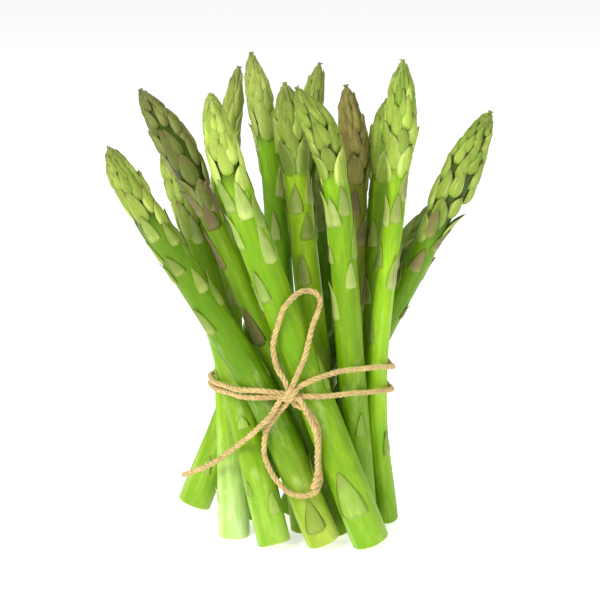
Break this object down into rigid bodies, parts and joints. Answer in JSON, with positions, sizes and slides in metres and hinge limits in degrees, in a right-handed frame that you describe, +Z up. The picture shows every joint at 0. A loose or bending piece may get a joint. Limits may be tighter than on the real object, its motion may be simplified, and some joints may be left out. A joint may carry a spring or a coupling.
{
  "type": "tied bundle of asparagus",
  "caption": "Bundle of fresh green asparagus spears fanned out above a waist of natural twine tied in a bow, standing on its cut ends.",
  "frame": {"origin": "on the surface that the cut ends stand on, under the middle of the bundle's box", "axes": "+Z up along the bundle, X across its wide fan from the front, -Y towards the bow in front"},
  "size_m": [0.1505, 0.0756, 0.1985],
  "materials": {
    "spear_green": "fresh green stem skin, faintly ribbed and waxy, with sage green scale leaves at the head",
    "spear_pale": "pale yellow-green stem skin, faintly ribbed and waxy, with pale-edged scale leaves at the head",
    "spear_purple": "olive green stem skin with purple-brown scale leaves",
    "twine": "straw-coloured plied natural fibre with loose hairs"
  },
  "bodies": {
    "root": {"spear_front_left": "spear_green", "spear_left_hidden": "spear_pale", "spear_left_purple": "spear_purple", "spear_front_big": "spear_pale", "spear_back_left": "spear_pale", "spear_back_tall": "spear_green", "spear_middle": "spear_green", "spear_front_right": "spear_green", "spear_back_crossing": "spear_pale", "spear_back_brown": "spear_purple", "spear_right_slim": "spear_green", "spear_right_short": "spear_green", "spear_far_right": "spear_green", "spear_right_back": "spear_green", "spear_back_short": "spear_green", "twine_wrap": "twine", "twine_knot": "twine", "twine_loop_upper": "twine", "twine_loop_lower": "twine", "twine_end_right": "twine", "twine_end_left": "twine"}
  },
  "joints": []
}
